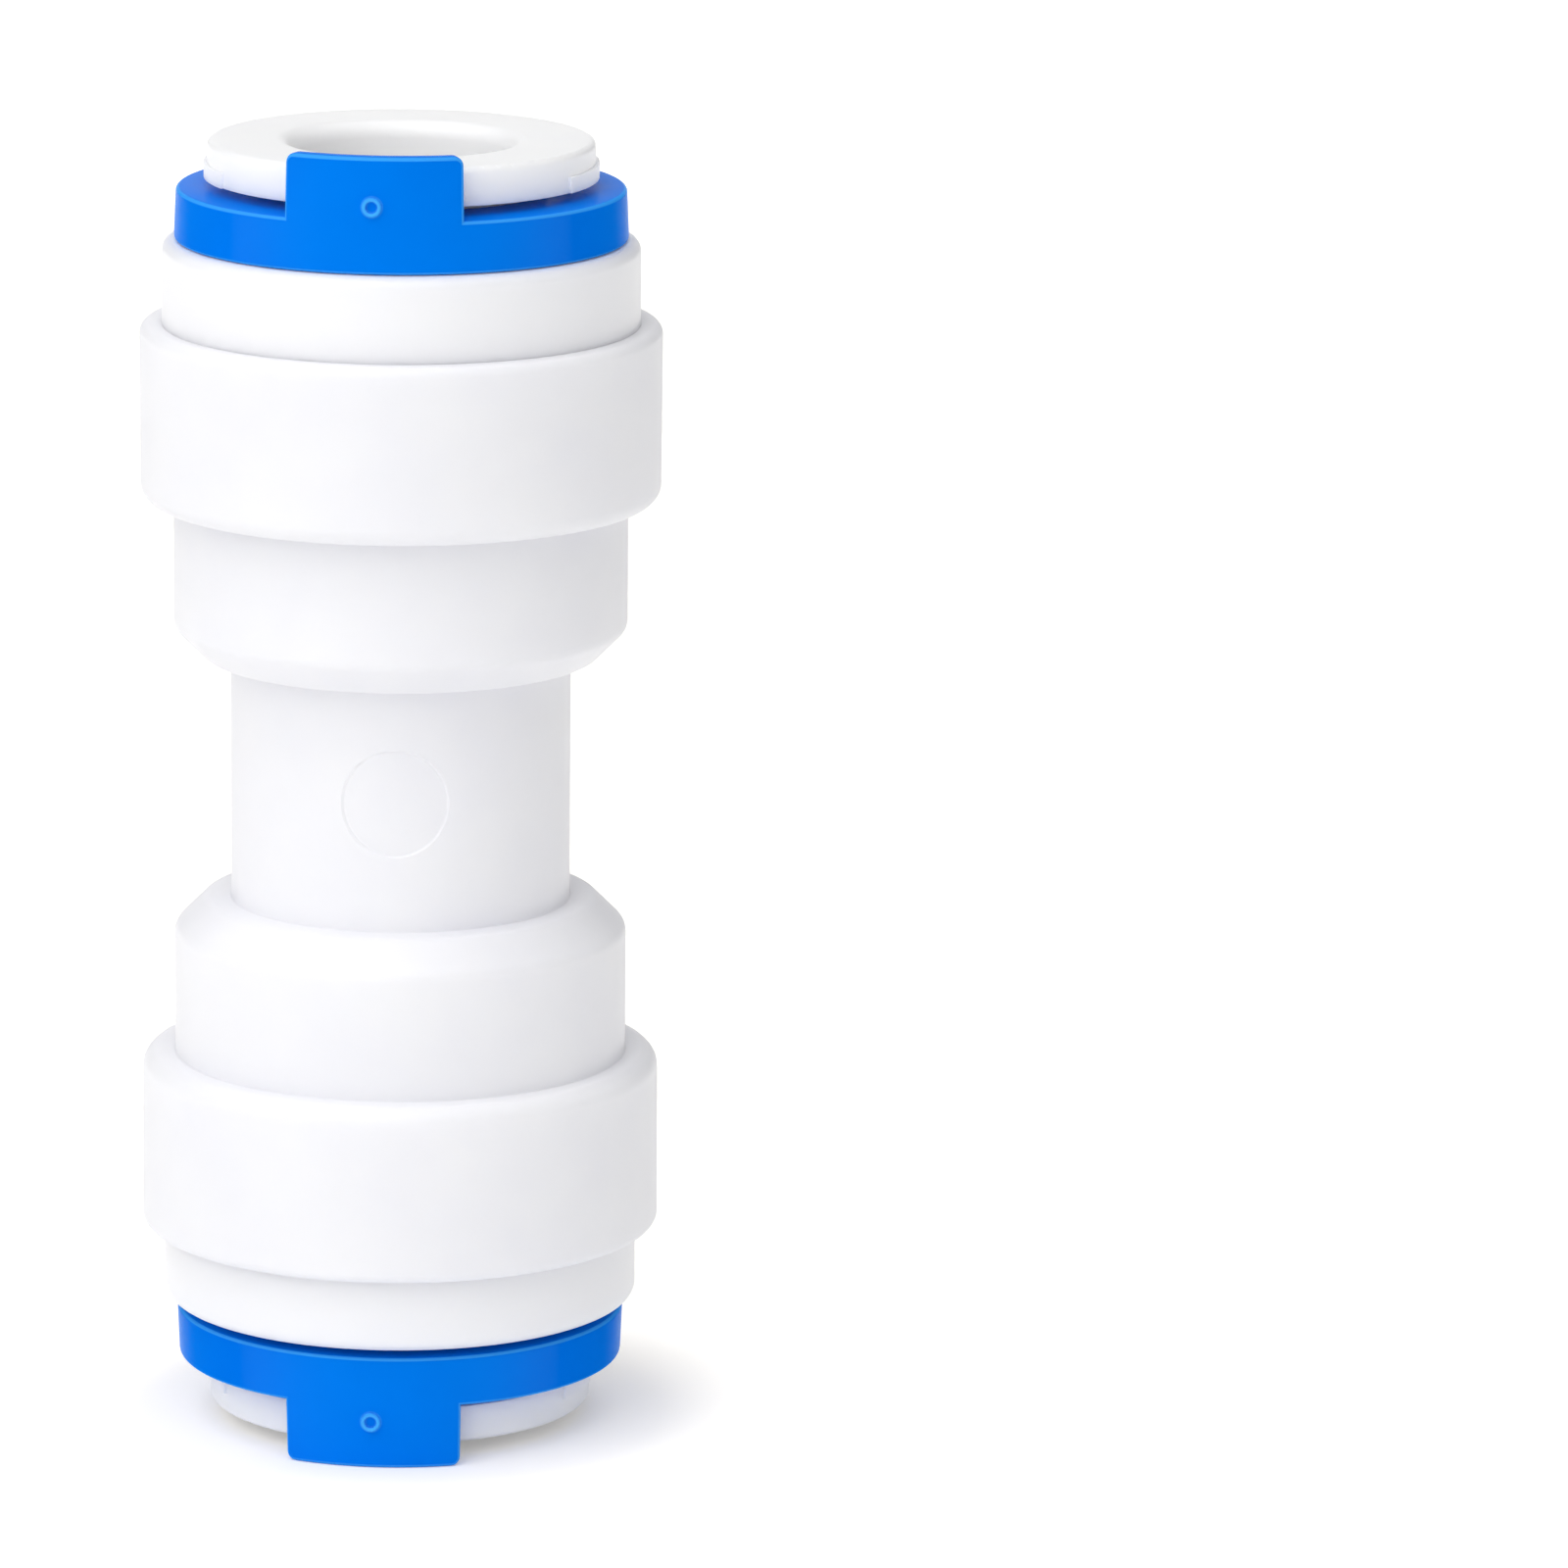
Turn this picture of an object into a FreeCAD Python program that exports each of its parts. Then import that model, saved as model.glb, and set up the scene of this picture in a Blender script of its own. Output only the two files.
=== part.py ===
import FreeCAD, Part

# Push-in straight union for 1/4 inch water pipe, standing upright on one end.
# One white body moulding has the same mouth at both ends. Each mouth holds an O-ring, a spacer
# ring, a welded cap with a cam cone, a sprung collet with four steel grip teeth, and a blue
# locking clip that stops the collet from being pressed in.
#
# Every piece of a mouth is drawn once, with its heights measured outwards from the middle of
# the body. The lower mouth is the same piece turned over about Y, so both tabs face -Y.
# The part's origin is on the axis, in the plane of the lower clip's tab edge.

import math
import os

import Sketcher

SIZES = {
    # Pipe
    "TubeDia": 6.35,           # outside diameter of the pipe that the fitting takes
    "TubeFit": 0.15,           # play between the pipe and its bores, on the diameter
    # Body, outside, from the middle outwards
    "WaistWall": 1.85,         # round the pipe's bore
    "WaistHalf": 3.7,          # half the waist's length
    "BarrelWall": 1.9,         # round the O-ring's gland
    "BarrelLength": 4.75,
    "BarrelChamfer": 0.93,
    "ShoulderRound": 0.42,     # between the shoulder and its chamfer
    "BarrelRound": 0.44,       # between the chamfer and the barrel
    "CollarWall": 1.6,         # round the cap's spigot, at the collar's outer edge
    "CollarLength": 5.35,
    "CollarDraft": 0.25,       # degrees, narrower towards the waist
    "CollarInnerRound": 0.53,
    "CollarOuterRound": 0.3,
    # Body, inside
    "StopHalf": 2.0,           # middle of the body to the stop that the pipe end meets
    "StopLedge": 0.975,        # how far the stop reaches in from the pipe's outside
    "GlandFloor": 1.6,         # shoulder to the floor of the O-ring's gland
    "BoreChamfer": 0.2,        # lead-in from the gland to the pipe's bore
    "MarkDia": 3.26,           # round mould mark on the waist
    "MarkDepth": 0.06,
    "MarkHeight": 0.2,         # above the middle of the body
    "MarkTurn": 5.5,           # degrees from -Y towards +X
    # O-ring and spacer ring
    "SealSection": 1.85,
    "SealSqueeze": 0.175,      # how far the pipe presses into the O-ring, on the radius
    "SealFit": 0.05,           # free O-ring to the gland's wall
    "SealRoom": 0.25,          # gland's length over the O-ring's section
    "SpacerLedge": 0.7,        # how far the spacer reaches past the gland's wall
    "SpacerThickness": 1.1,
    "SpacerChamfer": 0.15,
    "SpacerBoreFit": 0.2,      # spacer bore over the pipe bore, on the diameter
    "SeatFit": 0.02,           # play at every pressed or welded seat
    # Cap
    "SpigotWall": 1.03,        # the cap's plug in the collar, round the collet's legs
    "NeckStep": 0.665,         # from the collar in to the neck
    "NeckLength": 2.28,
    "UpperNeckExtra": 0.2,     # the upper cap stands out this much more
    "NeckRound": 0.37,
    "CapMouthChamfer": 0.2,
    # Collet
    "ColletWall": 1.05,        # round the pipe's bore, at the collet's neck
    "ColletNeckFit": 0.2,      # play in the cap's bore, on the diameter
    "FlangeStep": 1.5,         # from the collet's neck out to the flange
    "FlangeDraft": 2.0,        # degrees, narrower towards the open end
    "FlangeThickness": 1.13,
    "FlangeRound": 0.18,
    "MouthRound": 0.5,         # lead-in of the pipe bore
    "PadProud": 0.08,          # the two raised pads, out from the flange
    "PadHeight": 0.47,
    "PadSpan": 57.0,           # degrees
    "ColletReach": 7.3,        # flange to leg tips
    "LegRelief": 0.2,          # how far the bore stands back at the leg tips, on the radius
    "ColletFloat": 0.3,        # outward play before the barbs meet the cam cone
    "ColletTurn": 4.2,         # degrees, as the collets happen to lie
    "BarbRise": 0.65,
    "BarbLand": 1.4,
    "BarbAngle": 25.0,         # degrees from the axis, also the cam cone's
    "BarbTipChamfer": 0.3,
    "CavityFit": 0.2,          # barbs to the cap's inner wall, on the radius
    "SlotWidth": 1.2,
    "SlotLength": 4.6,
    # Grip teeth
    "ToothThickness": 0.3,
    "ToothBite": 0.15,         # into the pipe, on the radius
    "ToothReach": 1.35,        # tip to root, on the radius
    "ToothAngle": 35.0,        # degrees, leaning towards the pipe stop
    "ToothHeight": 0.4,        # leg tips to the tooth's tip
    "ToothSpan": 40.0,         # degrees
    # Locking clip
    "ClipSeatGap": 0.28,       # lower cap to clip
    "ClipThickness": 1.54,
    "ClipDraft": 2.5,          # degrees
    "ClipArmFit": 0.12,        # to the collet's neck, on the radius
    "ClipEdgeRound": 0.12,
    "ClipTipRound": 0.5,
    "FlangeGap": 0.3,          # clip to flange
    "TabFit": 0.24,            # flange to the tab's inner face
    "TabThickness": 0.66,      # at its foot; the tab's outer face carries on the clip's
    "TabSpan": 47.0,           # degrees
    "TabProud": 0.47,          # tab edge past the flange's face
    "TabRound": 0.28,
    "PipDia": 0.6,             # ring-shaped moulding pip on the tab
    "PipHole": 0.34,
    "PipProud": 0.12,
    "PipHeight": 0.45,         # above the clip's outer face
}

LEGS = 4
MOUTHS = ("upper", "lower")
NEAR = 1e-4                    # two places closer than this are one place

doc = FreeCAD.newDocument("water_line_fitting")
sheet = doc.addObject("Spreadsheet::Sheet", "Sizes")
for row, (alias, value) in enumerate(SIZES.items(), start=1):
    sheet.set(f"A{row}", alias)
    sheet.set(f"B{row}", str(value))
    sheet.setAlias(f"B{row}", alias)
doc.recompute()


# Expressions

def total(*terms):
    """Add expressions, sizes by alias or other expressions."""
    return "(" + " + ".join(size(term) for term in terms) + ")"


def size(term):
    """The expression for one size, or the expression itself."""
    return f"Sizes.{term}" if term in SIZES else term


def half(term):
    return f"({size(term)} / 2)"


def less(first, second):
    return f"({size(first)} - {size(second)})"


def number(expression):
    """What an expression comes to now."""
    result = sheet.evalExpression(expression)
    return float(getattr(result, "Value", result))


def tangent(angle):
    return f"tan({size(angle)} * 1 deg)"


def narrowed(radius, draft, start, end):
    """What a draft makes of a radius from one height to another, narrower outwards."""
    return f"({radius} - ({end} - {start}) * {tangent(draft)})"


# Heights from the middle of the body outwards
SHOULDER = size("WaistHalf")
BARREL_END = total(SHOULDER, "BarrelLength")
COLLAR_END = total(BARREL_END, "CollarLength")
NECK_END = total(COLLAR_END, "NeckLength")
CLIP_LOW = total(NECK_END, "ClipSeatGap")
CLIP_HIGH = total(CLIP_LOW, "ClipThickness")
FLANGE_LOW = total(CLIP_HIGH, "FlangeGap")
FLANGE_HIGH = total(FLANGE_LOW, "FlangeThickness")
TAB_END = total(FLANGE_HIGH, "TabProud")

PIPE_STOP = size("StopHalf")
GLAND_LOW = total(SHOULDER, "GlandFloor")
GLAND_END = total(GLAND_LOW, "SealSection", "SealRoom")
SPACER_LOW = total(GLAND_END, "SeatFit")
SPACER_END = total(SPACER_LOW, "SpacerThickness")
SPIGOT_SEAT = total(SPACER_END, "SeatFit")

LEG_TIP = less(FLANGE_LOW, "ColletReach")
BARB_END = total(LEG_TIP, "BarbLand")
RAMP_END = total(BARB_END, f"(Sizes.BarbRise / {tangent('BarbAngle')})")
TOOTH_TIP = total(LEG_TIP, "ToothHeight")

# Radii, from the pipe outwards
TUBE = half("TubeDia")
PIPE_BORE = total(TUBE, half("TubeFit"))
WATERWAY = less(TUBE, "StopLedge")
WAIST = total(PIPE_BORE, "WaistWall")
SEAL_BORE = less(TUBE, "SealSqueeze")
GLAND = total(SEAL_BORE, "SealSection", "SealFit")
BARREL = total(GLAND, "BarrelWall")
SPACER = total(GLAND, "SpacerLedge")
COLLET_NECK = total(PIPE_BORE, "ColletWall")
CAP_BORE = total(COLLET_NECK, half("ColletNeckFit"))
BARB = total(COLLET_NECK, "BarbRise")
CAVITY = total(BARB, "CavityFit")
SPIGOT = total(CAVITY, "SpigotWall")
SPIGOT_BORE = total(SPIGOT, "SeatFit")
COLLAR = total(SPIGOT_BORE, "CollarWall")
NECK = less(COLLAR, "NeckStep")
FLANGE = total(COLLET_NECK, "FlangeStep")
ARM_SLOT = total(COLLET_NECK, "ClipArmFit")
TAB_INSIDE = total(FLANGE, "TabFit")
CLIP_HIGH_SIDE = total(TAB_INSIDE, "TabThickness")
CLIP_LOW_SIDE = narrowed(CLIP_HIGH_SIDE, "ClipDraft", CLIP_HIGH, CLIP_LOW)
TOOTH_EDGE = less(TUBE, "ToothBite")


# Sketches

def origin_feature(body, role):
    for feature in body.Origin.OriginFeatures:
        if feature.Role == role:
            return feature
    raise RuntimeError(f"{body.Label} has no {role}")


def new_body(label):
    body = doc.addObject("PartDesign::Body", label)
    body.Label = label
    return body


def new_sketch(body, name, role, turn=0.0, offset=None):
    """An empty sketch on one of the body's origin planes, turned about its own upright axis."""
    sketch = body.newObject("Sketcher::SketchObject", name)
    sketch.AttachmentSupport = (origin_feature(body, role), [""])
    sketch.MapMode = "FlatFace"
    upright = FreeCAD.Vector(0, 1, 0)
    sketch.AttachmentOffset = FreeCAD.Placement(FreeCAD.Vector(), FreeCAD.Rotation(upright, turn))
    if offset:
        sketch.setExpression("AttachmentOffset.Base.z", offset)
    return sketch


def hold(sketch, kind, geometry, point, expression):
    """Tie one coordinate of a point, which may be negative or nought, to an expression."""
    value = number(expression)
    if abs(value) < NEAR:
        axis = -2 if kind == "DistanceX" else -1
        sketch.addConstraint(Sketcher.Constraint("PointOnObject", geometry, point, axis))
        return
    ends = (-1, 1, geometry, point) if value > 0 else (geometry, point, -1, 1)
    index = sketch.addConstraint(Sketcher.Constraint(kind, *ends, abs(value)))
    sketch.setExpression(f"Constraints[{index}]", expression if value > 0 else f"-({expression})")


def draw_polygon(sketch, corners):
    """A closed outline whose corners are pairs of expressions."""
    points = [FreeCAD.Vector(number(x), number(y), 0) for x, y in corners]
    first = sketch.GeometryCount
    count = len(points)
    for i in range(count):
        sketch.addGeometry(Part.LineSegment(points[i], points[(i + 1) % count]))
    for i in range(count):
        following = first + (i + 1) % count
        sketch.addConstraint(Sketcher.Constraint("Coincident", first + i, 2, following, 1))
    for i, (x, y) in enumerate(corners):
        hold(sketch, "DistanceX", first + i, 1, x)
        hold(sketch, "DistanceY", first + i, 1, y)


def draw_circle(sketch, radius, x, y):
    centre = FreeCAD.Vector(number(x), number(y), 0)
    index = sketch.addGeometry(Part.Circle(centre, FreeCAD.Vector(0, 0, 1), number(radius)))
    hold(sketch, "DistanceX", index, 3, x)
    hold(sketch, "DistanceY", index, 3, y)
    constraint = sketch.addConstraint(Sketcher.Constraint("Radius", index, number(radius)))
    sketch.setExpression(f"Constraints[{constraint}]", radius)


def draw_slot(sketch, radius, centre, mouth):
    """A slot on the upright axis with one round end and one square, open end."""
    wide = number(radius)
    middle = number(centre)
    end = number(mouth)
    side = 1 if end > middle else -1
    start, stop = (math.pi, 2 * math.pi) if side > 0 else (0, math.pi)
    circle = Part.Circle(FreeCAD.Vector(0, middle, 0), FreeCAD.Vector(0, 0, 1), wide)
    arc = sketch.addGeometry(Part.ArcOfCircle(circle, start, stop))
    right, left = (2, 1) if side > 0 else (1, 2)
    places = ((wide, middle), (wide, end), (-wide, end), (-wide, middle))
    corners = [FreeCAD.Vector(x, y, 0) for x, y in places]
    lines = [sketch.addGeometry(Part.LineSegment(corners[i], corners[i + 1])) for i in range(3)]
    sketch.addConstraint(Sketcher.Constraint("Coincident", arc, right, lines[0], 1))
    sketch.addConstraint(Sketcher.Constraint("Coincident", lines[0], 2, lines[1], 1))
    sketch.addConstraint(Sketcher.Constraint("Coincident", lines[1], 2, lines[2], 1))
    sketch.addConstraint(Sketcher.Constraint("Coincident", lines[2], 2, arc, left))
    sketch.addConstraint(Sketcher.Constraint("Vertical", lines[0]))
    sketch.addConstraint(Sketcher.Constraint("Vertical", lines[2]))
    sketch.addConstraint(Sketcher.Constraint("Horizontal", lines[1]))
    sketch.addConstraint(Sketcher.Constraint("Horizontal", arc, 1, arc, 2))
    sketch.addConstraint(Sketcher.Constraint("Horizontal", arc, 1, arc, 3))
    hold(sketch, "DistanceX", arc, 3, "0")
    hold(sketch, "DistanceY", arc, 3, centre)
    hold(sketch, "DistanceY", lines[0], 2, mouth)
    constraint = sketch.addConstraint(Sketcher.Constraint("Radius", arc, wide))
    sketch.setExpression(f"Constraints[{constraint}]", radius)


# Features

def finish_feature(body, feature, cuts=False, adds=True):
    """Make a feature the body's tip, and stop if it changed nothing."""
    before = body.Shape.Volume if body.Shape and not body.Shape.isNull() else 0.0
    body.Tip = feature
    doc.recompute()
    after = feature.Shape.Volume
    if cuts and not after < before:
        raise RuntimeError(f"{feature.Label} cut nothing")
    if adds and not cuts and not after > before:
        raise RuntimeError(f"{feature.Label} added nothing")
    return feature


def turned(body, name, sketch, span=None, cuts=False):
    """Turn a sketch round the upright axis, all the way or symmetrically over a span."""
    kind = "PartDesign::Groove" if cuts else "PartDesign::Revolution"
    feature = body.newObject(kind, name)
    feature.Profile = sketch
    feature.ReferenceAxis = (sketch, ["V_Axis"])
    feature.Angle = 360.0
    if span:
        feature.Midplane = True
        feature.setExpression("Angle", span)
    return finish_feature(body, feature, cuts)


def cut_through(body, name, sketch):
    """Cut a sketch through the body on both sides of its plane."""
    pocket = body.newObject("PartDesign::Pocket", name)
    pocket.Profile = sketch
    pocket.Type = "ThroughAll"
    pocket.Midplane = True
    return finish_feature(body, pocket, cuts=True)


def repeated(body, name, feature, count):
    """Repeat a feature evenly round the axis."""
    pattern = body.newObject("PartDesign::PolarPattern", name)
    pattern.Originals = [feature]
    pattern.Axis = (origin_feature(body, "Z_Axis"), [""])
    pattern.Angle = 360.0
    pattern.Occurrences = count
    volume = feature.Shape.Volume
    finish_feature(body, pattern, adds=False)
    if abs(pattern.Shape.Volume - volume) < NEAR:
        raise RuntimeError(f"{pattern.Label} repeated nothing")
    return pattern


def rims(feature, radius, height):
    """The names of the full or broken circles of one radius at one height."""
    wanted_radius = number(radius)
    wanted_height = number(height)
    names = []
    for index, edge in enumerate(feature.Shape.Edges, start=1):
        if not isinstance(edge.Curve, Part.Circle):
            continue
        same_radius = abs(edge.Curve.Radius - wanted_radius) < NEAR
        if same_radius and abs(edge.Curve.Center.z - wanted_height) < NEAR:
            names.append(f"Edge{index}")
    return names


def dressed(body, kind, name, feature, edges, amount):
    """Round or chamfer some edges of the body's last feature."""
    if not edges:
        raise RuntimeError(f"{name} found no edge")
    dress = body.newObject(f"PartDesign::{kind}", name)
    dress.Base = (feature, edges)
    dress.setExpression("Radius" if kind == "Fillet" else "Size", size(amount))
    return finish_feature(body, dress, adds=False)


def place_mouth_piece(piece, mouth, turn="0"):
    """Set a mouth's piece at its end of the body, turned over for the lower mouth."""
    over = 0.0 if mouth == "upper" else 180.0
    spin = FreeCAD.Rotation(FreeCAD.Vector(0, 0, 1), number(turn))
    flip = FreeCAD.Rotation(FreeCAD.Vector(0, 1, 0), over)
    piece.Placement = FreeCAD.Placement(FreeCAD.Vector(), spin.multiply(flip))
    piece.setExpression("Placement.Base.z", TAB_END)


# Pieces

def build_fitting_body():
    """The white moulding: waist, O-ring barrels and collars, bored alike from both ends."""
    body = new_body("body_moulding")
    collar_low = narrowed(COLLAR, "CollarDraft", BARREL_END, COLLAR_END)
    barrel_foot = less(BARREL, "BarrelChamfer")
    barrel_low = total(SHOULDER, "BarrelChamfer")
    outside = [
        (WAIST, SHOULDER),
        (barrel_foot, SHOULDER),
        (BARREL, barrel_low),
        (BARREL, BARREL_END),
        (collar_low, BARREL_END),
        (COLLAR, COLLAR_END),
    ]
    inside = [
        (SPIGOT_BORE, COLLAR_END),
        (SPIGOT_BORE, SPIGOT_SEAT),
        (total(SPACER, "SeatFit"), SPIGOT_SEAT),
        (total(SPACER, "SeatFit"), GLAND_END),
        (GLAND, GLAND_END),
        (GLAND, GLAND_LOW),
        (total(PIPE_BORE, "BoreChamfer"), GLAND_LOW),
        (PIPE_BORE, less(GLAND_LOW, "BoreChamfer")),
        (PIPE_BORE, PIPE_STOP),
        (WATERWAY, PIPE_STOP),
    ]
    upper = outside + inside
    lower = [(radius, f"-({height})") for radius, height in reversed(upper)]
    section = new_sketch(body, "body_section", "XZ_Plane")
    draw_polygon(section, upper + lower)
    feature = turned(body, "body_turned", section)
    rounds = [
        ("shoulder_rounds", barrel_foot, SHOULDER, "ShoulderRound"),
        ("barrel_rounds", BARREL, barrel_low, "BarrelRound"),
        ("collar_inner_rounds", collar_low, BARREL_END, "CollarInnerRound"),
        ("collar_outer_rounds", COLLAR, COLLAR_END, "CollarOuterRound"),
    ]
    for name, radius, height, amount in rounds:
        edges = rims(feature, radius, height) + rims(feature, radius, f"-({height})")
        feature = dressed(body, "Fillet", name, feature, edges, amount)
    body.setExpression("Placement.Base.z", TAB_END)
    return marked_body(body)


def marked_body(body):
    """Sink the round mould mark into the waist, its floor curved like the waist."""
    pin = doc.addObject("Part::Cylinder", "mark_pin")
    pin.setExpression("Radius", half("MarkDia"))
    pin.setExpression("Height", f"2 * {WAIST}")
    turn = FreeCAD.Rotation(FreeCAD.Vector(0, 0, 1), number(size("MarkTurn")))
    towards_front = FreeCAD.Rotation(FreeCAD.Vector(1, 0, 0), 90)
    pin.Placement = FreeCAD.Placement(FreeCAD.Vector(), turn.multiply(towards_front))
    pin.setExpression("Placement.Base.z", total(TAB_END, "MarkHeight"))
    core = doc.addObject("Part::Cylinder", "mark_core")
    core.setExpression("Radius", less(WAIST, "MarkDepth"))
    core.setExpression("Height", f"2 * {SHOULDER}")
    core.setExpression("Placement.Base.z", less(TAB_END, SHOULDER))
    tool = doc.addObject("Part::Cut", "mark_tool")
    tool.Base = pin
    tool.Tool = core
    marked = doc.addObject("Part::Cut", "fitting_body")
    marked.Label = "fitting_body"
    marked.Base = body
    marked.Tool = tool
    doc.recompute()
    if not marked.Shape.Volume < body.Shape.Volume:
        raise RuntimeError("the mould mark cut nothing")
    return marked


def build_cap(mouth):
    """The neck ring, welded into the collar by its spigot, with the cam cone inside."""
    body = new_body(f"{mouth}_cap")
    neck_end = total(NECK_END, "UpperNeckExtra") if mouth == "upper" else NECK_END
    slope = tangent("BarbAngle")
    cone_start = f"({BARB_END} + Sizes.ColletFloat - Sizes.CavityFit / {slope})"
    cone_end = f"({RAMP_END} + Sizes.ColletFloat - {half('ColletNeckFit')} / {slope})"
    section = new_sketch(body, "cap_section", "XZ_Plane")
    draw_polygon(section, [
        (CAVITY, total(SPIGOT_SEAT, "SeatFit")),
        (SPIGOT, total(SPIGOT_SEAT, "SeatFit")),
        (SPIGOT, total(COLLAR_END, "SeatFit")),
        (NECK, total(COLLAR_END, "SeatFit")),
        (NECK, neck_end),
        (CAP_BORE, neck_end),
        (CAP_BORE, cone_end),
        (CAVITY, cone_start),
    ])
    feature = turned(body, "cap_turned", section)
    outer = rims(feature, NECK, neck_end)
    feature = dressed(body, "Fillet", "neck_round", feature, outer, "NeckRound")
    inner = rims(feature, CAP_BORE, neck_end)
    dressed(body, "Chamfer", "mouth_chamfer", feature, inner, "CapMouthChamfer")
    place_mouth_piece(body, mouth)
    return body


def tooth_underside(radius, below="0"):
    """Where a slanted tooth's underside, or a face a set distance below it, is at a radius."""
    drop = f"({below} / cos(Sizes.ToothAngle * 1 deg))"
    return f"({TOOTH_TIP} + ({radius} - {TOOTH_EDGE}) * {tangent('ToothAngle')} - {drop})"


def build_tooth(mouth, place):
    """One steel grip tooth, a curved plate with a sharpened inner edge."""
    body = new_body(f"{mouth}_grip_tooth_{place + 1}")
    section = new_sketch(body, "tooth_section", "XZ_Plane")
    root = total(TOOTH_EDGE, "ToothReach")
    bevel = total(TOOTH_EDGE, "ToothThickness")
    top = "(-Sizes.ToothThickness)"
    draw_polygon(section, [
        (TOOTH_EDGE, TOOTH_TIP),
        (root, tooth_underside(root)),
        (root, tooth_underside(root, top)),
        (bevel, tooth_underside(bevel, top)),
    ])
    turned(body, "tooth_turned", section, span="Sizes.ToothSpan")
    leg_turn = 360 / LEGS * (place + 0.5)
    place_mouth_piece(body, mouth, f"{leg_turn} + Sizes.ColletTurn")
    return body


def build_collet(mouth):
    """The white collet: flange, neck and four sprung legs with barbs and tooth seats."""
    body = new_body(f"{mouth}_collet")
    flange_face = narrowed(FLANGE, "FlangeDraft", FLANGE_LOW, FLANGE_HIGH)
    seat_floor = size("SeatFit")
    seat_roof = "(-Sizes.ToothThickness - Sizes.SeatFit)"
    relief = total(PIPE_BORE, "LegRelief")
    relief_end = total(tooth_underside(relief, seat_roof), "SeatFit")
    section = new_sketch(body, "collet_section", "XZ_Plane")
    draw_polygon(section, [
        (PIPE_BORE, relief_end),
        (relief, relief_end),
        (relief, LEG_TIP),
        (BARB, LEG_TIP),
        (BARB, BARB_END),
        (COLLET_NECK, RAMP_END),
        (COLLET_NECK, FLANGE_LOW),
        (FLANGE, FLANGE_LOW),
        (flange_face, FLANGE_HIGH),
        (PIPE_BORE, FLANGE_HIGH),
    ])
    feature = turned(body, "collet_turned", section)
    pad = new_sketch(body, "pad_section", "XZ_Plane")
    pad_root = less(FLANGE, "FlangeRound")
    pad_face = total(FLANGE, "PadProud")
    pad_end = total(FLANGE_LOW, "PadHeight")
    draw_polygon(pad, [
        (pad_root, FLANGE_LOW),
        (pad_face, FLANGE_LOW),
        (pad_face, pad_end),
        (pad_root, pad_end),
    ])
    feature = turned(body, "pad_turned", pad, span="Sizes.PadSpan")
    feature = repeated(body, "both_pads", feature, 2)
    edge = rims(feature, flange_face, FLANGE_HIGH)
    feature = dressed(body, "Fillet", "flange_round", feature, edge, "FlangeRound")
    edge = rims(feature, PIPE_BORE, FLANGE_HIGH)
    feature = dressed(body, "Fillet", "mouth_round", feature, edge, "MouthRound")
    edge = rims(feature, BARB, LEG_TIP)
    feature = dressed(body, "Chamfer", "tip_chamfer", feature, edge, "BarbTipChamfer")
    slot = new_sketch(body, "slot_outline", "XZ_Plane")
    slot_centre = f"({LEG_TIP} + Sizes.SlotLength - Sizes.SlotWidth / 2)"
    draw_slot(slot, half("SlotWidth"), slot_centre, less(LEG_TIP, "SlotWidth"))
    feature = cut_through(body, "slot", slot)
    feature = repeated(body, "leg_slots", feature, LEGS)
    seat = new_sketch(body, "seat_section", "XZ_Plane", turn=180 / LEGS)
    root = total(TOOTH_EDGE, "ToothReach", "SeatFit")
    open_side = less(PIPE_BORE, "SlotWidth")
    draw_polygon(seat, [
        (open_side, tooth_underside(open_side, seat_floor)),
        (root, tooth_underside(root, seat_floor)),
        (root, tooth_underside(root, seat_roof)),
        (open_side, tooth_underside(open_side, seat_roof)),
    ])
    side_play = f"2 * atan(Sizes.SeatFit / {PIPE_BORE}) / 1 deg"
    wider = total("ToothSpan", side_play)
    feature = turned(body, "seat_cut", seat, span=wider, cuts=True)
    repeated(body, "tooth_seats", feature, LEGS)
    place_mouth_piece(body, mouth, "Sizes.ColletTurn")
    return body


def clip_side(height):
    """The radius of the clip's drafted side, which the tab carries on."""
    return narrowed(CLIP_HIGH_SIDE, "ClipDraft", CLIP_HIGH, height)


def build_clip(mouth):
    """The blue U-shaped locking clip with its upright tab and moulding pip."""
    body = new_body(f"{mouth}_clip")
    band = new_sketch(body, "band_section", "XZ_Plane")
    draw_polygon(band, [
        ("0", CLIP_LOW),
        (CLIP_LOW_SIDE, CLIP_LOW),
        (CLIP_HIGH_SIDE, CLIP_HIGH),
        ("0", CLIP_HIGH),
    ])
    turned(body, "band_turned", band)
    slot = new_sketch(body, "arm_slot", "XY_Plane")
    draw_slot(slot, ARM_SLOT, "0", f"2 * {CLIP_LOW_SIDE}")
    feature = cut_through(body, "arms", slot)
    feature = dressed(body, "Fillet", "tip_rounds", feature, arm_tips(feature), "ClipTipRound")
    edges = level_edges(feature, CLIP_LOW) + level_edges(feature, CLIP_HIGH)
    dressed(body, "Fillet", "edge_rounds", feature, edges, "ClipEdgeRound")
    tab = new_sketch(body, "tab_section", "YZ_Plane")
    tab_foot = total(CLIP_LOW, half("ClipThickness"))
    draw_polygon(tab, [
        (f"-({TAB_INSIDE})", tab_foot),
        (f"-({clip_side(tab_foot)})", tab_foot),
        (f"-({clip_side(TAB_END)})", TAB_END),
        (f"-({TAB_INSIDE})", TAB_END),
    ])
    feature = turned(body, "tab_turned", tab, span="Sizes.TabSpan")
    corners = level_edges(feature, TAB_END, straight=True)
    dressed(body, "Fillet", "tab_rounds", feature, corners, "TabRound")
    add_pip(body, total(CLIP_HIGH, "PipHeight"))
    place_mouth_piece(body, mouth)
    return body


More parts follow.
